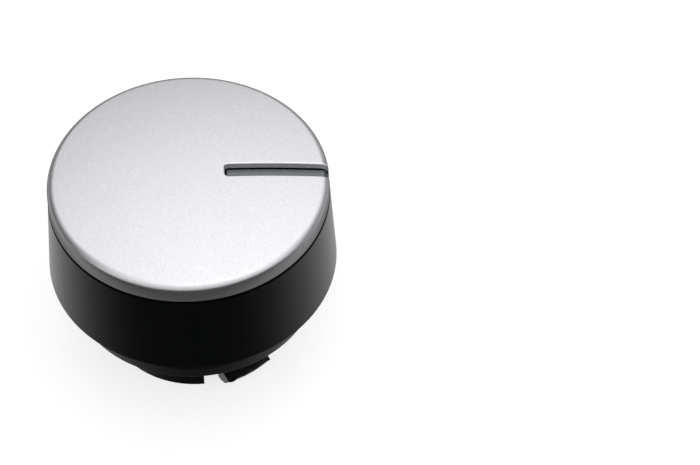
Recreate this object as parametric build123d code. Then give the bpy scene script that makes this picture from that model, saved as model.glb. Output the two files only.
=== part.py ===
from build123d import *
import os
from math import cos, radians, sin, sqrt

os.makedirs("parts", exist_ok=True)

# Timer knob of a washing machine, face up on the tips of its snap fingers.
# Axis on Z, origin in the plane of the finger tips, pointer towards +X. Millimetres and degrees.

# Face cap
cap_dia = 40.1
cap_rim = 1.9  # straight part of the rim, from the seam up
cap_edge_round = 1.25
face_crown = 1.5  # rise of the face from its edge to its middle
cap_wall = 1.5
seam_chamfer = 0.25
spigot_wall = 1.0  # ring inside the cap that centres it in the skirt
spigot_depth = 2.6
cap_fit = 0.1  # radial clearance of the spigot and the snap legs
snap_width = 4.0
snap_wall = 1.2
snap_catch = 0.55
snap_tip = 1.6  # end of a snap leg, below the floor that it holds

# Pointer
slot_width = 2.1
slot_start = 5.3  # from the axis
slot_corner = 0.45
pointer_gap = 0.2  # between the rib and the edge of its slot
pointer_recess = 1.1  # top of the rib, below the face
pointer_end_round = 1.0  # outer end of the rib, below the edge of the face

# Skirt, flange and collar
skirt_height = 13.85
skirt_step = 0.05  # skirt larger than the cap, at the seam
skirt_flare = 0.9  # draft over the height of the skirt
skirt_wall = 1.7  # round the spigot of the cap
flange_chamfer = 0.25
flange_land = 2.65  # rear face of the flange, outside the collar
collar_height = 5.55
collar_wall = 0.95
collar_lead = 2.0  # tapered end of the collar
collar_taper = 0.2
bore_draft = 0.15  # inside of the collar, down to the floor

# Floor with windows
floor_depth = 7.15  # from the rear of the flange
floor_thickness = 1.8
window_span = 41.0
window_margin = 0.35  # floor left along the fingers
window_ledge = 0.8  # floor left along the collar
window_corner = 0.7

# Snap fingers
finger_reach = 8.7  # tips beyond the rim of the collar
finger_gap = 3.8  # from the inside of the collar to the fingers, at the floor
finger_wall = 1.1
finger_draft = 0.25
finger_slot = 2.5
finger_slot_depth = 8.8
finger_slot_round = 0.9
finger_tip_chamfer = 0.25
hook_count = 3
hook_angle = 60.0  # first hook, from the pointer
hook_width = 7.3
hook_reach = 1.45
hook_nose = 2.0  # height of the nose above the tips
hook_nose_land = 0.25
hook_back = 0.7  # rise of the sloping catch, from the nose to the finger
flash_thickness = 0.22  # ragged fin that the mould left along one nose
flash_reach = (0.3, 0.36, 0.08, 0.18, 0.05, 0.13, 0.06, 0.1, 0.24)  # along the nose

# Boss, split sleeve and grip ring
shaft_dia = 6.0
shaft_flat = 1.45  # flat of the shaft, from its axis
shaft_clearance = 0.02
sleeve_wall = 1.2
sleeve_setback = 0.6  # end of the sleeve below the edge of the ring
mouth_chamfer = 0.45
split_width = 0.85
split_offset = 0.45  # split, from the axis, away from the flat
split_depth = 8.0
bar_thickness = 0.7
rib_height = 0.9
rib_width = 0.6
rib_angles = (-118.0, -58.0, -19.5, 19.5, 58.0, 118.0)  # from the back of the sleeve
leg_spread = 0.5  # inner edge of each leg, from the middle of the bar
leg_width = 1.2
leg_splay = 8.0
flat_turn = -150.0  # flat of the bore, from the first hook
bore_depth = 16.0
ring_setback = 1.75  # edge of the ring, from the finger tips
ring_height = 1.9
ring_thickness = 0.62
ring_clearance = 0.05
ring_gap_angle = 23.0
ring_gap_turn = 38.8  # middle of the gap, from the flat
boss_step = 0.3
boss_step_heights = (1.65, 3.95)  # shoulders of the boss, from the seat of the ring
gusset_thickness = 1.0
gusset_height = 5.0

# Radii that follow
cap_r = cap_dia / 2
skirt_top_r = cap_r + skirt_step
flange_r = skirt_top_r + skirt_flare
seat_r = skirt_top_r - skirt_wall
collar_r = flange_r - flange_land
collar_bore_r = collar_r - collar_wall
floor_r = collar_bore_r - bore_draft
window_outer_r = floor_r - window_ledge
finger_base_r = floor_r - finger_gap
window_inner_r = finger_base_r + window_margin
finger_tip_r = finger_base_r - finger_draft
finger_inner_r = finger_tip_r - finger_wall
hook_r = finger_tip_r + hook_reach
bore_r = shaft_dia / 2 + shaft_clearance
flat_y = -(shaft_flat + shaft_clearance)
sleeve_r = bore_r + sleeve_wall
rib_r = sleeve_r + rib_height
ring_inner_r = rib_r + ring_clearance
ring_r = ring_inner_r + ring_thickness

# Levels that follow
collar_rim_z = finger_reach
flange_z = collar_rim_z + collar_height
seam_z = flange_z + skirt_height
floor_z = flange_z + floor_depth
floor_top_z = floor_z + floor_thickness
crown_z = seam_z + cap_rim + cap_edge_round + face_crown
boss_z = ring_setback + ring_height
sleeve_z = ring_setback + sleeve_setback
split_z = boss_z + split_depth

face_radius = (cap_r**2 + face_crown**2) / (2 * face_crown)
flat_angle = hook_angle + flat_turn
hook_pitch = 360 / hook_count
hook_turns = [hook_angle + hook_pitch * i for i in range(hook_count)]
window_turns = hook_turns + [turn + hook_pitch / 2 for turn in hook_turns]


def face_z(r, depth=0.0):
    """Height of the crowned face at a radius, or of a surface that lies a depth below it."""
    return crown_z - face_radius + sqrt((face_radius - depth) ** 2 - r**2)


def face_arc(start, end, depth=0.0):
    """Arc of the face in the plane of the axis, from one radius to another."""
    return ThreePointArc(*[(r, face_z(r, depth)) for r in (start, (start + end) / 2, end)])


def wedge(angle, reach):
    """Flat sector of an angle about +X, from the axis out past a reach."""
    corner = Vector(2 * reach * cos(radians(angle / 2)), 2 * reach * sin(radians(angle / 2)))
    return make_face(Polyline((0, 0), (corner.X, -corner.Y), (corner.X, corner.Y), close=True))


def turned(section):
    """A section in the plane of the axis, turned once round it."""
    return revolve(section, axis=Axis.Z)


def parallel_sided(section, width):
    """The part of a turned section on the +X side, cut to a width with parallel sides."""
    extent = section.bounding_box()
    middle = Pos(extent.max.X, 0, extent.center().Z)
    return turned(section) & middle * Box(2 * extent.max.X, width, 2 * extent.size.Z)


def snap_leg():
    """Leg of the cap that goes through a window and catches behind the floor."""
    leg_r = window_outer_r - cap_fit
    root_z = face_z(leg_r, cap_wall / 2)
    end_z = floor_z - snap_tip
    with BuildSketch(Plane.XZ) as section:
        with BuildLine():
            Polyline(
                (leg_r, root_z),
                (leg_r, floor_z),
                (leg_r + snap_catch, floor_z),
                (leg_r + snap_catch, floor_z - snap_catch / 2),
                (leg_r - snap_wall / 2, end_z),
                (leg_r - snap_wall, end_z),
                (leg_r - snap_wall, root_z),
                close=True,
            )
        make_face()
    return parallel_sided(section.sketch, snap_width)


def face_cap():
    """Shallow cup with a crowned face, a spigot for the skirt, snap legs and the open pointer slot."""
    spigot_r = seat_r - cap_fit
    inner_r = spigot_r - spigot_wall
    spigot_z = seam_z - spigot_depth
    with BuildSketch(Plane.XZ) as section:
        with BuildLine():
            face = face_arc(0, cap_r)
            Polyline(
                face @ 1,
                (cap_r, seam_z),
                (spigot_r, seam_z),
                (spigot_r, spigot_z),
                (inner_r, spigot_z),
                (inner_r, face_z(inner_r, cap_wall)),
            )
            inside = face_arc(inner_r, 0, cap_wall)
            Line(inside @ 1, face @ 0)
        make_face()
        fillet(section.vertices().sort_by_distance(face @ 1)[0], cap_edge_round)
        chamfer(section.vertices().sort_by_distance((cap_r, seam_z))[0], seam_chamfer)
    cap = turned(section.sketch)
    for turn in hook_turns:
        cap += Rot(0, 0, turn) * snap_leg()

    slot_length = cap_r + cap_wall - slot_start
    slot = Pos(slot_start + slot_length / 2, 0) * RectangleRounded(slot_length, slot_width, slot_corner)
    return cap - Pos(0, 0, spigot_z) * extrude(slot, crown_z - spigot_z)


def body_section():
    """Half section of the body: skirt, flange, collar, floor, finger wall and boss in one outline."""
    boss_radii = [ring_r + boss_step * i for i in range(len(boss_step_heights) + 1)]
    outline = [
        (0, floor_top_z),
        (seat_r, floor_top_z),
        (seat_r, seam_z),
        (skirt_top_r, seam_z),
        (flange_r, flange_z),
        (collar_r, flange_z),
        (collar_r, collar_rim_z + collar_lead),
        (collar_r - collar_taper, collar_rim_z),
        (collar_bore_r, collar_rim_z),
        (floor_r, floor_z),
        (finger_base_r, floor_z),
        (finger_tip_r, 0),
        (finger_inner_r, 0),
        (finger_inner_r - finger_draft, floor_z),
        (boss_radii[-1], floor_z),
    ]
    for step in reversed(range(len(boss_step_heights))):
        shoulder_z = boss_z + boss_step_heights[step]
        outline += [(boss_radii[step + 1], shoulder_z), (boss_radii[step], shoulder_z)]
    outline += [(ring_r, boss_z), (ring_inner_r, boss_z), (ring_inner_r, split_z), (0, split_z)]
    with BuildSketch(Plane.XZ) as section:
        with BuildLine():
            Polyline(*outline, close=True)
        make_face()
        chamfer(section.vertices().sort_by_distance((flange_r, flange_z))[0], flange_chamfer)
        chamfer(section.vertices().sort_by_distance((finger_tip_r, 0))[0], finger_tip_chamfer)
        chamfer(section.vertices().sort_by_distance((skirt_top_r, seam_z))[0], seam_chamfer)
    return section.sketch


def hook():
    """Snap hook: a rounded lead-in over the tip, a nose and a sloping catch, with parallel sides."""
    root_r = finger_inner_r + finger_wall / 4
    nose_z = hook_nose - hook_nose_land
    with BuildSketch(Plane.XZ) as section:
        with BuildLine():
            lead_in = Spline((root_r, 0), (hook_r, nose_z), tangents=((1, 0), (0.25, 1)))
            Polyline(
                lead_in @ 1,
                (hook_r, hook_nose),
                (finger_tip_r, hook_nose + hook_back),
                (root_r, hook_nose + hook_back),
                lead_in @ 0,
            )
        make_face()
    return parallel_sided(section.sketch, hook_width)


def hook_flash():
    """Thin fin with a ragged edge along the nose of a hook, where the mould did not close."""
    half = hook_width / 2
    pitch = hook_width / (len(flash_reach) - 1)
    edge = [(sqrt(hook_r**2 - (pitch * i - half) ** 2) + out, pitch * i - half)
            for i, out in enumerate(flash_reach)]
    root_r = finger_tip_r + hook_reach / 2
    with BuildSketch() as fin:
        with BuildLine():
            ragged = Spline(*edge)
            Polyline(ragged @ 1, (root_r, half), (root_r, -half), ragged @ 0)
        make_face()
    return Pos(0, 0, hook_nose - flash_thickness) * extrude(fin.sketch, flash_thickness)


def finger_slots():
    """The two slots that free one hooked finger, parallel to its sides and round at the bottom."""
    rounding = min(finger_slot_round, 0.45 * finger_slot)
    length = finger_slot_depth + finger_slot
    opening = Pos(0, finger_slot_depth - length / 2) * RectangleRounded(finger_slot, length, rounding)
    slot = extrude(Plane.YZ * opening, flange_r)
    clear_of_boss = finger_inner_r - finger_gap / 2
    clear_of_collar = finger_base_r + finger_gap / 2
    around = Cylinder(clear_of_collar, 2 * length) - Cylinder(clear_of_boss, 2 * length)
    across = (hook_width + finger_slot) / 2
    return (Pos(0, across, 0) * slot + Pos(0, -across, 0) * slot) & around


def window():
    """One window in the floor, between the fingers and the collar."""
    opening = (Circle(window_outer_r) - Circle(window_inner_r)) & wedge(window_span, window_outer_r)
    rounding = min(window_corner, 0.45 * (window_outer_r - window_inner_r))
    opening = fillet(opening.vertices(), rounding)
    return Pos(0, 0, floor_z) * extrude(opening, floor_thickness)


def sleeve_sections():
    """The split sleeve across the axis, and its D bore, with the flat towards -Y."""
    span = 4 * rib_r
    bar_y = flat_y - bar_thickness
    split_high = split_offset + split_width / 2
    split_low = split_offset - split_width / 2
    round_half = Circle(sleeve_r) & Pos(0, split_high + span / 2) * Rectangle(span, span)
    flat_half = Circle(sleeve_r) & Pos(0, (split_low + bar_y) / 2) * Rectangle(span, split_low - bar_y)
    rib = Pos(0, (sleeve_r + rib_r - sleeve_wall) / 2) * Rectangle(rib_width, sleeve_wall + rib_height)
    sleeve = round_half + flat_half
    for angle in rib_angles:
        sleeve += Rot(0, 0, angle) * rib
    for side in (-1, 1):
        foot = Pos(side * (leg_spread + leg_width / 2), bar_y) * Rot(0, 0, side * leg_splay)
        sleeve += foot * Pos(0, (bar_thickness - rib_r) / 2) * Rectangle(leg_width, rib_r)
    bore = Circle(bore_r) & Pos(0, flat_y + span / 2) * Rectangle(span, span)
    return (sleeve & Circle(rib_r)) - bore, bore


def gusset():
    """Sloping web that stiffens the foot of the boss, out to the finger wall."""
    root_z = floor_z + floor_thickness / 2
    with BuildSketch(Plane.XZ) as section:
        with BuildLine():
            Polyline(
                (ring_r, root_z),
                (ring_r, floor_z - gusset_height),
                (finger_inner_r, floor_z),
                (finger_inner_r, root_z),
                close=True,
            )
        make_face()
    return extrude(section.sketch, gusset_thickness / 2, both=True)


def pointer():
    """Rib that stands on the floor and fills the slot of the cap, a little below the face."""
    start = slot_start + pointer_gap
    end = cap_r - pointer_gap
    width = slot_width - 2 * pointer_gap
    with BuildSketch(Plane.XZ) as section:
        with BuildLine():
            top = face_arc(start, end, pointer_recess)
            Polyline(
                top @ 1,
                (end, seam_z),
                (seat_r, seam_z),
                (seat_r, floor_top_z),
                (start, floor_top_z),
                top @ 0,
            )
        make_face()
        fillet(section.vertices().sort_by_distance(top @ 1)[0], pointer_end_round)
    rib = extrude(section.sketch, width / 2, both=True)
    inner_corners = rib.edges().filter_by(Axis.Z).group_by(Axis.X)[0]
    return fillet(inner_corners, min(slot_corner - pointer_gap, 0.45 * width))


def knob_body():
    """All that is moulded in one: the turned section with its hooks, sleeve, gussets and pointer."""
    body = turned(body_section()) + pointer()
    for turn in hook_turns:
        body += Rot(0, 0, turn) * hook()
        body += Rot(0, 0, turn - hook_pitch / 4) * gusset()
    body += Rot(0, 0, hook_turns[-1]) * hook_flash()

    facing = Rot(0, 0, flat_angle + 90)
    sleeve, bore = sleeve_sections()
    body += facing * Pos(0, 0, sleeve_z) * extrude(sleeve, split_z - sleeve_z)
    body -= facing * Pos(0, 0, sleeve_z) * extrude(bore, bore_depth)
    mouth = Pos(0, 0, sleeve_z + mouth_chamfer / 2) * Cone(bore_r + mouth_chamfer, bore_r, mouth_chamfer)
    round_side = Pos(0, split_offset + ring_r, sleeve_z) * Box(2 * ring_r, 2 * ring_r, 2 * mouth_chamfer)
    body -= facing * (mouth & round_side)

    for turn in hook_turns:
        body -= Rot(0, 0, turn) * finger_slots()
    for turn in window_turns:
        body -= Rot(0, 0, turn) * window()
    return body


def grip_ring():
    """Open ring of spring steel, seated on the end of the boss and closed round the ribs of the sleeve."""
    ring = Circle(ring_r) - Circle(ring_inner_r)
    ring -= Rot(0, 0, flat_angle + ring_gap_turn) * wedge(ring_gap_angle, ring_r)
    return Pos(0, 0, ring_setback) * extrude(ring, ring_height)


export_step(face_cap(), "parts/face_cap.step")
export_step(knob_body(), "parts/knob_body.step")
export_step(grip_ring(), "parts/grip_ring.step")
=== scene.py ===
import math
import bmesh
import bpy
from mathutils import Matrix, Vector


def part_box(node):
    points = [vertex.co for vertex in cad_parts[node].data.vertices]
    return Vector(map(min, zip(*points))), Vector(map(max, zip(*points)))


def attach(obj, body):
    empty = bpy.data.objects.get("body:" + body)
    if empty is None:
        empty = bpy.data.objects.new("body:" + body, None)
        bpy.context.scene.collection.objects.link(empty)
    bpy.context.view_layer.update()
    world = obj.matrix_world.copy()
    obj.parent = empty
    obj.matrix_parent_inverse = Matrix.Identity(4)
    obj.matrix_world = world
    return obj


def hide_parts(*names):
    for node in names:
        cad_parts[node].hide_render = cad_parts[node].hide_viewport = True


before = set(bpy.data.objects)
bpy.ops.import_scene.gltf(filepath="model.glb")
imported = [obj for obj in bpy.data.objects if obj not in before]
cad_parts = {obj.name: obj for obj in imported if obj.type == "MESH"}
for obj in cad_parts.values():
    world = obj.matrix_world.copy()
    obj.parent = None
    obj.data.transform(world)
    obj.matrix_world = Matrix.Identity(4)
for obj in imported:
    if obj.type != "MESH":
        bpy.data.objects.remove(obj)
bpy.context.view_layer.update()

# Knob body: skirt, flange, collar, snap fingers, shaft sleeve and pointer rib, one moulding in black ABS.
# The mould's satin finish gives soft, wide reflections that brighten towards the sides. The level top of
# the pointer is drawn light grey as a painted highlight, a band round the seam has its reflections taken
# out as a painted shade, and a little dust has settled all over.
mm = 0.001
cap_low, cap_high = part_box("face_cap")
crown = cap_high[2]
face_rise = 1.5 * mm  # of the crown of the cap over its edge
rim_height = 3.15 * mm  # of that edge, before its rounding, over the skirt
seam = crown - face_rise - rim_height
seam_shade = 0.28 * mm  # this far above and below the seam, reflections are taken out as a painted shade of the gap there
highlight_start = seam + 0.6 * mm
highlight_full = seam + 1.4 * mm
sloping = 0.75  # upward part of a surface's normal; the painted highlight starts here and is full where it is level
level = 0.95
smooth_abs = 0.2  # roughness
rough_abs = 0.26
grit = 0.12 * mm
grit_depth = 0.03 * mm
streak_height = 0.35 * mm
streak_length = 9.0 * mm
dust_pitch = 3.0 * mm
dust_size = 0.17 * mm
worn_edge = 0.12 * mm


def colour(hexadecimal):
    """Linear RGBA of an sRGB hex colour."""
    channels = [int(hexadecimal[i:i + 2], 16) / 255 for i in (1, 3, 5)]
    return [c / 12.92 if c <= 0.04045 else ((c + 0.055) / 1.055) ** 2.4 for c in channels] + [1.0]


def add_node(tree, kind, inputs, **settings):
    """Adds a node with its settings; each input is a value, or the output that feeds it."""
    made = tree.nodes.new(kind)
    for name, value in settings.items():
        setattr(made, name, value)
    for name, value in inputs.items():
        if isinstance(value, bpy.types.NodeSocket):
            tree.links.new(value, made.inputs[name])
        else:
            made.inputs[name].default_value = value
    return made


black_abs = bpy.data.materials.new("satin black moulded ABS")
black_abs.use_nodes = True
tree = black_abs.node_tree
surface = add_node(tree, "ShaderNodeTexCoord", {})
place = surface.outputs["Object"]
grain = add_node(tree, "ShaderNodeTexNoise", {"Vector": place, "Scale": 1 / grit, "Detail": 2.0})
stretch = add_node(tree, "ShaderNodeMapping", {
    "Vector": place, "Scale": (1 / streak_length, 1 / streak_length, 1 / streak_height)})
streaks = add_node(tree, "ShaderNodeTexNoise", {
    "Vector": stretch.outputs["Vector"], "Scale": 1.0, "Detail": 3.0})
gloss = add_node(tree, "ShaderNodeMapRange", {
    "Value": streaks.outputs["Fac"], "To Min": smooth_abs, "To Max": rough_abs})
height = add_node(tree, "ShaderNodeSeparateXYZ", {"Vector": place})
facing = add_node(tree, "ShaderNodeSeparateXYZ", {"Vector": surface.outputs["Normal"]})
topside = add_node(tree, "ShaderNodeMapRange", {
    "Value": facing.outputs["Z"], "From Min": sloping, "From Max": level})
# Painted highlight: level faces above the seam, which is the top of the pointer, are drawn light grey with
# a fine grain.
painted_top_highlight = add_node(tree, "ShaderNodeMapRange", {
    "Value": height.outputs["Z"], "From Min": highlight_start, "From Max": highlight_full,
    "To Max": topside.outputs["Result"]})
highlight_grain = add_node(tree, "ShaderNodeMixRGB", {
    "Fac": grain.outputs["Fac"], "Color1": colour("#4c4f53"), "Color2": colour("#666a6e")})
tone = add_node(tree, "ShaderNodeMixRGB", {
    "Fac": painted_top_highlight.outputs["Result"], "Color1": colour("#030404"), "Color2": highlight_grain.outputs["Color"]})
dust = add_node(tree, "ShaderNodeTexVoronoi", {"Vector": place, "Scale": 1 / dust_pitch})
specks = add_node(tree, "ShaderNodeMapRange", {
    "Value": dust.outputs["Distance"],
    "From Min": dust_size / dust_pitch, "From Max": dust_size / 2 / dust_pitch})
dusty = add_node(tree, "ShaderNodeMixRGB", {
    "Fac": specks.outputs["Result"], "Color1": tone.outputs["Color"], "Color2": colour("#3c3c3a")})
edges = add_node(tree, "ShaderNodeBevel", {"Radius": worn_edge}, samples=4)
relief = add_node(tree, "ShaderNodeBump", {
    "Height": grain.outputs["Fac"], "Strength": 0.1, "Distance": grit_depth,
    "Normal": edges.outputs["Normal"]})
# Painted shade: reflections are taken out in a band round the seam, where the gap between cap and skirt
# lies dark.
painted_seam_shade = add_node(tree, "ShaderNodeMath", {
    0: height.outputs["Z"], 1: seam, 2: seam_shade}, operation="COMPARE")
tint_and_seam_shade = add_node(tree, "ShaderNodeMixRGB", {
    "Fac": painted_seam_shade.outputs["Value"], "Color1": colour("#fafffc"), "Color2": colour("#000000")})
shader = tree.nodes["Principled BSDF"]
shader.inputs["IOR"].default_value = 1.53
tree.links.new(tint_and_seam_shade.outputs["Color"], shader.inputs["Specular Tint"])
tree.links.new(dusty.outputs["Color"], shader.inputs["Base Color"])
tree.links.new(gloss.outputs["Result"], shader.inputs["Roughness"])
tree.links.new(relief.outputs["Normal"], shader.inputs["Normal"])
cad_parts["knob_body"].material_slots[0].material = black_abs

# Face cap: a shallow cup moulded in black ABS, with a crowned face, a pointer slot cut in from the rim,
# and three snap legs that hold it in the skirt. Silver metallic paint is sprayed on from the front: it
# lands thin and dry on the walls of the slot, and leaves the inside and the lower edge of the rim bare.
flake = 0.3 * mm  # a real flake is a tenth of this; drawn coarser so that the grain shows
flake_depth = 0.05 * mm
paint_mottle = 6.0 * mm

# The flakes break the reflections of the paint into a fine grain. Dry overspray is duller and rougher.
silver_paint = bpy.data.materials.new("silver metallic paint on ABS")
dry_paint = bpy.data.materials.new("dry overspray of silver paint")
for paint, metallic, dark_flake, light_flake, smooth, rough in (
        (silver_paint, 0.95, "#b7b6ba", "#cfcfd1", 0.28, 0.34),
        (dry_paint, 0.3, "#808184", "#9c9da0", 0.55, 0.7)):
    paint.use_nodes = True
    tree = paint.node_tree
    place = add_node(tree, "ShaderNodeTexCoord", {}).outputs["Object"]
    grain = add_node(tree, "ShaderNodeTexNoise", {"Vector": place, "Scale": 1 / flake, "Detail": 1.0})
    mottle = add_node(tree, "ShaderNodeTexNoise", {
        "Vector": place, "Scale": 1 / paint_mottle, "Detail": 2.0})
    tone = add_node(tree, "ShaderNodeMixRGB", {
        "Fac": grain.outputs["Fac"], "Color1": colour(dark_flake), "Color2": colour(light_flake)})
    gloss = add_node(tree, "ShaderNodeMapRange", {
        "Value": mottle.outputs["Fac"], "To Min": smooth, "To Max": rough})
    relief = add_node(tree, "ShaderNodeBump", {
        "Height": grain.outputs["Fac"], "Strength": 0.12, "Distance": flake_depth})
    shader = tree.nodes["Principled BSDF"]
    shader.inputs["Metallic"].default_value = metallic
    shader.inputs["Specular Tint"].default_value = colour("#909090")
    tree.links.new(tone.outputs["Color"], shader.inputs["Base Color"])
    tree.links.new(gloss.outputs["Result"], shader.inputs["Roughness"])
    tree.links.new(relief.outputs["Normal"], shader.inputs["Normal"])
cap_skins = [silver_paint, black_abs, dry_paint]
painted, bare, oversprayed = range(3)

cap_r = (cap_high[1] - cap_low[1]) / 2
cap_end = cap_low[2]
edge_round = 1.25 * mm
seam_round = 0.25 * mm
cap_wall = 1.5 * mm
spigot_r = 18.3 * mm  # of the ring behind the face that centres the cap in the skirt
spigot_wall = 1.0 * mm
spigot_depth = 2.6 * mm
cap_steps = 180  # round the axis
face_steps = 12
edge_steps = 10
seam_steps = 3
inner_steps = 10
weld = 0.001 * mm  # points closer than this are merged
hair = 0.02 * mm  # closer than this counts as the same place
upward = 0.001  # the spray reaches faces whose normals point up by more than this

face_r = (cap_r ** 2 + face_rise ** 2) / (2 * face_rise)
face_centre = crown - face_r
edge_centre_r = cap_r - edge_round
edge_centre = face_centre + math.sqrt((face_r - edge_round) ** 2 - edge_centre_r ** 2)
spigot_inner_r = spigot_r - spigot_wall
inner_face_r = face_r - cap_wall
dome = math.degrees(math.asin(cap_r / face_r))
inner_dome = math.degrees(math.asin(spigot_inner_r / inner_face_r))


def draw(shape, start, *moves):
    """Draws a wire beside the axis; a move is a point (r, z), or (r, z, degrees, steps) round a centre."""
    tip = shape.verts.new((start[0], 0, start[1]))
    for r, z, *arc in moves:
        if arc:
            swept = bmesh.ops.spin(shape, geom=[tip], cent=(r, 0, z), axis=(0, 1, 0),
                                   angle=math.radians(arc[0]), steps=arc[1])
            tip = swept["geom_last"][0]
        else:
            tip = bmesh.ops.extrude_vert_indiv(shape, verts=[tip])["verts"][0]
            tip.co = (r, 0, z)


def round_corner(shape, r, z, size, segments):
    """Rounds the corner of a wire nearest to a point; size is what it takes off each side."""
    corner = min(shape.verts, key=lambda v: (v.co - Vector((r, 0, z))).length)
    bmesh.ops.bevel(shape, geom=[corner], offset=size, offset_type="OFFSET", affect="VERTICES",
                    segments=segments, profile=0.5, material=-1)


def lathe(shape, steps):
    """Turns a wire once round the axis into a closed skin that faces outwards."""
    bmesh.ops.spin(shape, geom=shape.verts[:] + shape.edges[:], cent=(0, 0, 0), axis=(0, 0, 1),
                   angle=math.tau, steps=steps, use_merge=True)
    bmesh.ops.remove_doubles(shape, verts=shape.verts, dist=weld)
    bmesh.ops.recalc_face_normals(shape, faces=shape.faces)


def extrude(shape, faces, way):
    """Extrudes faces by a vector and gives the new ones."""
    grown = bmesh.ops.extrude_face_region(shape, geom=faces)["geom"]
    bmesh.ops.translate(shape, vec=way, verts=[g for g in grown if isinstance(g, bmesh.types.BMVert)])
    return [g for g in grown if isinstance(g, bmesh.types.BMFace)]


def as_object(shape, name, materials):
    """Makes an object of a finished shape."""
    mesh = bpy.data.meshes.new(name)
    shape.to_mesh(mesh)
    shape.free()
    for material in materials:
        mesh.materials.append(material)
    made = bpy.data.objects.new(name, mesh)
    bpy.context.scene.collection.objects.link(made)
    return made


def combine(piece, tool, operation):
    """Joins a tool shape to a piece, or cuts it out, and drops the tool."""
    step = piece.modifiers.new(operation, "BOOLEAN")
    step.operation = operation
    step.solver = "MANIFOLD"
    step.object = tool
    mesh = bpy.data.meshes.new_from_object(piece.evaluated_get(bpy.context.evaluated_depsgraph_get()))
    piece.modifiers.clear()
    piece.data = mesh
    bpy.data.objects.remove(tool)


shape = bmesh.new()
draw(shape, (0, crown),
     (0, face_centre, dome, face_steps),
     (cap_r, seam),
     (spigot_r, seam),
     (spigot_r, seam - spigot_depth),
     (spigot_inner_r, seam - spigot_depth),
     (spigot_inner_r, face_centre + math.sqrt(inner_face_r ** 2 - spigot_inner_r ** 2)),
     (0, face_centre, -inner_dome, inner_steps))
edge_cut = edge_round * math.tan(math.radians((90 - dome) / 2))
round_corner(shape, cap_r, crown - face_rise, edge_cut, edge_steps)
round_corner(shape, cap_r, seam, seam_round, seam_steps)
lathe(shape, cap_steps)
for face in shape.faces:
    middle = face.calc_center_median()
    on_rim = middle.xy.length > cap_r - hair and middle.z > seam + seam_round
    face.material_index = painted if on_rim or face.normal.z > upward else bare
cap = as_object(shape, "face_cap_painted", cap_skins)

# The legs of the cap: straight tongues moulded on its inside, with a catch near the end of each that
# snaps behind the floor of the body, out of sight.
leg_r = 16.35 * mm
leg_wall = 1.2 * mm
leg_width = 4.0 * mm
leg_catch = 0.55 * mm
leg_nose = 1.6 * mm  # from the catch to the end
leg_root = 0.6 * mm  # from the inside of the face, at its middle, to the top of a leg, within the wall
leg_turns = (60, 180, 300)  # degrees from the pointer
leg_top = crown - cap_wall - leg_root
catch_z = cap_end + leg_nose
for leg_turn in leg_turns:
    shape = bmesh.new()
    draw(shape, (leg_r - leg_wall, leg_top),
         (leg_r, leg_top),
         (leg_r, catch_z),
         (leg_r + leg_catch, catch_z),
         (leg_r + leg_catch, catch_z - leg_catch / 2),
         (leg_r - leg_wall / 2, cap_end),
         (leg_r - leg_wall, cap_end))
    side = bmesh.ops.contextual_create(shape, geom=shape.verts[:] + shape.edges[:])["faces"]
    extrude(shape, side, (0, leg_width, 0))
    bmesh.ops.translate(shape, vec=(0, -leg_width / 2, 0), verts=shape.verts)
    bmesh.ops.rotate(shape, cent=(0, 0, 0), verts=shape.verts,
                     matrix=Matrix.Rotation(math.radians(leg_turn), 3, "Z"))
    bmesh.ops.recalc_face_normals(shape, faces=shape.faces)
    for face in shape.faces:
        face.material_index = bare
    combine(cap, as_object(shape, "snap_leg", cap_skins), "UNION")

# The slot of the cap: its edge is softly rounded, and its walls are painted as deep as the spray reached.
# Behind that they close in on the pointer, so that no light comes through from the back.
slot_start = 5.3 * mm
slot_width = 2.1 * mm
slot_corner = 0.45 * mm
slot_round = 0.3 * mm
spray_depth = 0.68 * mm
close_in = 0.17 * mm
close_depth = 0.27 * mm
slot_past_rim = 3.0 * mm  # the cut runs on this far beyond the rim
slot_lift = 1.0 * mm  # and starts this far above the face
slot_depth = 9.0 * mm  # enough to go right through the cap
slot_strips = 60  # along the slot, so that its edge follows the crown
corner_steps = 6
round_start = 10.0  # degrees; from level, the rounding would leave slivers where it meets the face
round_steps = 5
rim_margin = 0.15 * mm  # next to the rim the slot's edge no longer follows the face


def outside(r):
    """Centre (r, z) and radius of the arc of the cap's outside at a radius: the crown, or its edge."""
    if r * (face_r - edge_round) <= edge_centre_r * face_r:
        return 0.0, face_centre, face_r
    return edge_centre_r, edge_centre, edge_round


def face_z(r):
    """Height of the outside of the cap at a radius."""
    arc_r, arc_z, arc = outside(r)
    return arc_z + math.sqrt(arc ** 2 - (r - arc_r) ** 2)


mouth_start = slot_start - slot_round
mouth_end = cap_r + slot_past_rim
shape = bmesh.new()
bmesh.ops.create_grid(shape, x_segments=1, y_segments=1, size=0.5)
bmesh.ops.scale(shape, vec=(mouth_end - mouth_start, slot_width + 2 * slot_round, 1), verts=shape.verts)
bmesh.ops.translate(shape, vec=((mouth_start + mouth_end) / 2, 0, slot_lift), verts=shape.verts)
inner_corners = [v for v in shape.verts if v.co.x < mouth_start + hair]
bmesh.ops.bevel(shape, geom=inner_corners, offset=slot_corner + slot_round, offset_type="OFFSET",
                affect="VERTICES", segments=corner_steps, profile=0.5, material=-1)
for i in range(1, slot_strips):
    cut_x = mouth_start + (mouth_end - mouth_start) * i / slot_strips
    bmesh.ops.bisect_plane(shape, geom=shape.verts[:] + shape.edges[:] + shape.faces[:],
                           plane_co=(cut_x, 0, 0), plane_no=(1, 0, 0))
mouth = extrude(shape, shape.faces[:], (0, 0, -slot_lift))
slopes = [math.radians(round_start + (90 - round_start) * i / round_steps)
          for i in range(round_steps + 1)]
slot_steps = [(slot_round * (math.sin(steeper) - math.sin(flatter)),
               slot_round * (math.cos(flatter) - math.cos(steeper)), painted)
              for flatter, steeper in zip(slopes, slopes[1:])]
slot_steps += [(0, spray_depth, oversprayed), (close_in, close_depth, bare), (0, slot_depth, bare)]
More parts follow.
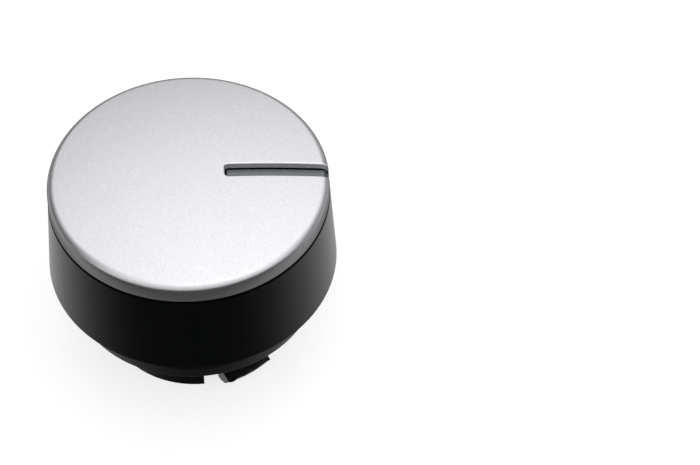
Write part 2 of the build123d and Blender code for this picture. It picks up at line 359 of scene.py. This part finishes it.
for inset, drop, skin in slot_steps:
    higher = set(shape.faces)
    bmesh.ops.inset_region(shape, faces=mouth, thickness=inset, depth=0, use_even_offset=True,
                           use_boundary=True)
    bmesh.ops.translate(shape, vec=(0, 0, -drop), verts=list({v for f in mouth for v in f.verts}))
    for face in set(shape.faces) - higher:
        face.material_index = skin
for vert in shape.verts:
    vert.co.z += face_z(min(vert.co.xy.length, cap_r - rim_margin))
bmesh.ops.recalc_face_normals(shape, faces=shape.faces)
combine(cap, as_object(shape, "slot", cap_skins), "DIFFERENCE")

# The shading of the cap: the crown and its rounded edge are arcs, and take the true normals of those arcs.
sharp_edge = 35.0  # degrees
same_side = 0.9  # cosine; a normal that leans further off the arc belongs to a wall and stays as it is
mesh = cap.data
mesh.shade_smooth()
mesh.set_sharp_from_angle(angle=math.radians(sharp_edge))
normals = [corner.vector.copy() for corner in mesh.corner_normals]
for loop in mesh.loops:
    spot = mesh.vertices[loop.vertex_index].co
    r = spot.xy.length
    if hair < r < cap_r and abs(spot.z - face_z(r)) < hair:
        arc_r, arc_z, arc = outside(r)
        out = Vector((spot.x * (r - arc_r) / r, spot.y * (r - arc_r) / r, spot.z - arc_z)).normalized()
        if normals[loop.index].dot(out) > same_side:
            normals[loop.index] = out
mesh.normals_split_custom_set(normals)
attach(cap, "root")
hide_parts("face_cap")

# Grip ring: an open ring of rolled spring-steel strip that closes the split sleeve on the shaft.
# Rolling leaves fine lines along the strip and a bright, slightly warm metal.
rolling_line = 0.08 * mm
rolling_length = 25.0 * mm
smooth_steel = 0.2  # roughness
rough_steel = 0.4

spring_steel = bpy.data.materials.new("rolled spring steel")
spring_steel.use_nodes = True
tree = spring_steel.node_tree
place = add_node(tree, "ShaderNodeTexCoord", {}).outputs["Object"]
stretch = add_node(tree, "ShaderNodeMapping", {
    "Vector": place, "Scale": (1 / rolling_length, 1 / rolling_length, 1 / rolling_line)})
lines = add_node(tree, "ShaderNodeTexNoise", {
    "Vector": stretch.outputs["Vector"], "Scale": 1.0, "Detail": 2.0})
gloss = add_node(tree, "ShaderNodeMapRange", {
    "Value": lines.outputs["Fac"], "To Min": smooth_steel, "To Max": rough_steel})
shader = tree.nodes["Principled BSDF"]
shader.inputs["Base Color"].default_value = colour("#c4c0b8")
shader.inputs["Metallic"].default_value = 1.0
tree.links.new(gloss.outputs["Result"], shader.inputs["Roughness"])
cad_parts["grip_ring"].material_slots[0].material = spring_steel

# Floor: a light table of opal acrylic sheet under the finger tips, lit evenly from below, so that shadows
# on it stay faint. It is left out of the reflections, which come from the studio light alone.
floor_size = 6.0  # metres

bpy.ops.mesh.primitive_plane_add(size=floor_size)
floor = bpy.context.object
floor.name = "floor"
opal_acrylic = bpy.data.materials.new("opal acrylic sheet")
opal_acrylic.use_nodes = True
shader = opal_acrylic.node_tree.nodes["Principled BSDF"]
shader.inputs["Base Color"].default_value = colour("#8c8c8b")
shader.inputs["Emission Color"].default_value = colour("#ffffff")
shader.inputs["Emission Strength"].default_value = 0.75
shader.inputs["Roughness"].default_value = 0.9
shader.inputs["Specular IOR Level"].default_value = 0.0
floor.data.materials.append(opal_acrylic)
floor.visible_glossy = False

# Light: one large soft box overhead, leaning to the back and the right, and a weaker one in front.
# Below the horizon, reflections see a table that is bright at the back and dark in front of the knob.
# Straight to the camera, all of it shows as a plain white backdrop.
box_tilt = 15.0  # degrees to the back
box_lean = 10.0  # degrees to the right
box_spread = 2.0  # the higher, the narrower the soft box
box_light = 1.95
room_light = 0.06
front_light = 0.9
front_start = 0.1  # along Y, in a direction of length 1
front_full = -0.5
table_light = 0.66
back_side = (0.1, 1, 0)  # towards the bright end of the table
table_blend = 0.62  # along that, to each side of the knob, from dark to bright
near_light = 0.03  # of the table in front, close to the knob
near_start = -0.35  # along Z, in a direction of length 1
near_full = -0.85
horizon_low = -0.12  # along Z too; between these two the table blends into the room
horizon_high = 0.08
backdrop_light = 1.0

studio = bpy.data.worlds.new("soft box studio")
bpy.context.scene.world = studio
studio.use_nodes = True
tree = studio.node_tree
direction = add_node(tree, "ShaderNodeTexCoord", {}).outputs["Generated"]
axes = add_node(tree, "ShaderNodeSeparateXYZ", {"Vector": direction})
box_axis = Vector((math.tan(math.radians(box_lean)), math.tan(math.radians(box_tilt)), 1)).normalized()
towards_box = add_node(tree, "ShaderNodeVectorMath", {0: direction, 1: box_axis}, operation="DOT_PRODUCT")
box_side = add_node(tree, "ShaderNodeMath", {
    0: towards_box.outputs["Value"], 1: 0.0}, operation="MAXIMUM")
falloff = add_node(tree, "ShaderNodeMath", {
    0: box_side.outputs["Value"], 1: box_spread}, operation="POWER")
box = add_node(tree, "ShaderNodeMapRange", {
    "Value": falloff.outputs["Value"], "To Min": room_light, "To Max": box_light})
front = add_node(tree, "ShaderNodeMapRange", {
    "Value": axes.outputs["Y"], "From Min": front_start, "From Max": front_full, "To Max": front_light},
    interpolation_type="SMOOTHSTEP")
above = add_node(tree, "ShaderNodeMath", {
    0: box.outputs["Result"], 1: front.outputs["Result"]}, operation="ADD")
towards_back = add_node(tree, "ShaderNodeVectorMath", {
    0: direction, 1: back_side}, operation="DOT_PRODUCT")
near = add_node(tree, "ShaderNodeMapRange", {
    "Value": axes.outputs["Z"], "From Min": near_start, "From Max": near_full, "To Max": near_light})
below = add_node(tree, "ShaderNodeMapRange", {
    "Value": towards_back.outputs["Value"], "From Min": -table_blend, "From Max": table_blend,
    "To Min": near.outputs["Result"], "To Max": table_light}, interpolation_type="SMOOTHSTEP")
horizon = add_node(tree, "ShaderNodeMapRange", {
    "Value": axes.outputs["Z"], "From Min": horizon_low, "From Max": horizon_high},
    interpolation_type="SMOOTHSTEP")
light = add_node(tree, "ShaderNodeMix", {
    "Factor": horizon.outputs["Result"], "A": below.outputs["Result"], "B": above.outputs["Value"]})
ray = add_node(tree, "ShaderNodeLightPath", {})
backdrop = add_node(tree, "ShaderNodeMix", {
    "Factor": ray.outputs["Is Camera Ray"], "A": light.outputs["Result"], "B": backdrop_light})
tree.links.new(backdrop.outputs["Result"], tree.nodes["Background"].inputs["Strength"])
tree.nodes["Background"].inputs["Color"].default_value = colour("#ffffff")

# Camera: the photograph's view of the face, from the front and above, with the knob left of the middle.
# It looks past the knob by the pan and the tilt, and leans by the roll.
target = Vector((0, 0, 20.2 * mm))
distance = 395.0 * mm
azimuth = 0.73  # degrees, as are the other angles
elevation = 49.85
pan = 3.314
tilt = -0.315
roll = -3.906
lens = 140.2  # millimetres, as is the sensor's width
sensor = 36.0

camera = bpy.data.objects.new("camera", bpy.data.cameras.new("camera"))
bpy.context.scene.collection.objects.link(camera)
towards = (Matrix.Rotation(math.radians(azimuth), 4, "Z")
           @ Matrix.Rotation(math.radians(90 - elevation), 4, "X"))
aim = (Matrix.Rotation(math.radians(-pan), 4, "Y")
       @ Matrix.Rotation(math.radians(tilt), 4, "X")
       @ Matrix.Rotation(math.radians(roll), 4, "Z"))
camera.matrix_world = Matrix.Translation(target) @ towards @ Matrix.Translation((0, 0, distance)) @ aim
camera.data.sensor_width = sensor
camera.data.lens = lens
camera.data.clip_start = 10 * mm
bpy.context.scene.camera = camera
bpy.context.scene.view_settings.view_transform = "Standard"
